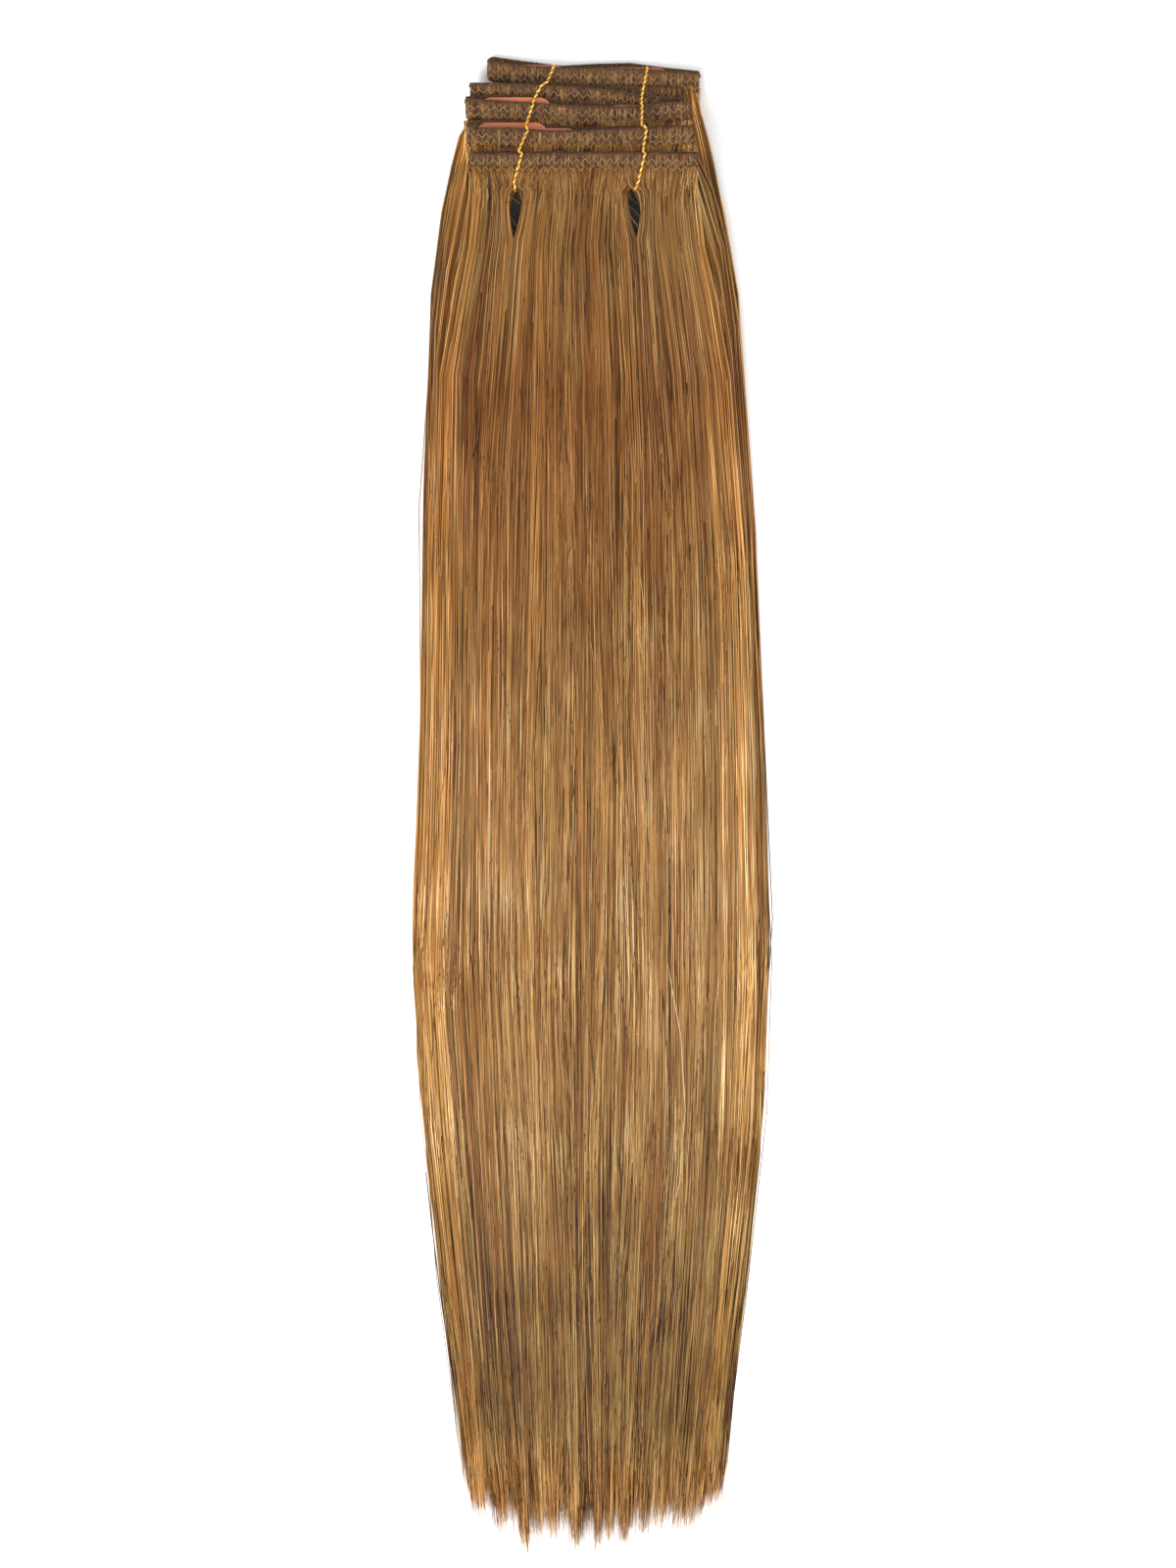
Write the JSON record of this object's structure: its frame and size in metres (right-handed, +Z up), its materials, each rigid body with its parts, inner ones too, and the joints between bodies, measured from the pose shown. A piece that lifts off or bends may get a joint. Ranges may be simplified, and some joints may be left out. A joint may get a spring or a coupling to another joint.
{
  "type": "clip-in hair extension",
  "caption": "Bundle of folded clip-in hair wefts of long straight hair, stacked with stepped sewn bands, snap clips in the folds, and tied with gold elastic.",
  "frame": {"origin": "middle of the bundle's box, on the surface that it lies on", "axes": "+Y along the hair towards the sewn bands, +X across the bands to the right in the picture, +Z up from the surface, with the front weft on top"},
  "size_m": [0.1394, 0.5764, 0.0297],
  "materials": {
    "hair": "straight human hair, light golden brown with darker and redder strands, silky",
    "band": "hair roots sewn into a band with brown and tan thread in zigzag rows, matt",
    "clip": "spring steel with glossy peach enamel",
    "tie": "elastic cord wound with gold metallic thread, bright"
  },
  "bodies": {
    "root": {"back_weft_band": "band", "back_weft_hair": "hair", "back_weft_clip_left": "clip", "back_weft_clip_right": "clip", "second_weft_band": "band", "second_weft_hair": "hair", "second_weft_clip_left": "clip", "second_weft_clip_right": "clip", "third_weft_band": "band", "third_weft_hair": "hair", "third_weft_clip_left": "clip", "third_weft_clip_right": "clip", "fourth_weft_band": "band", "fourth_weft_hair": "hair", "fourth_weft_clip_left": "clip", "fourth_weft_clip_right": "clip", "front_weft_band": "band", "front_weft_hair": "hair", "front_weft_clip_left": "clip", "front_weft_clip_right": "clip", "tie_left": "tie", "tie_right": "tie"}
  },
  "joints": []
}
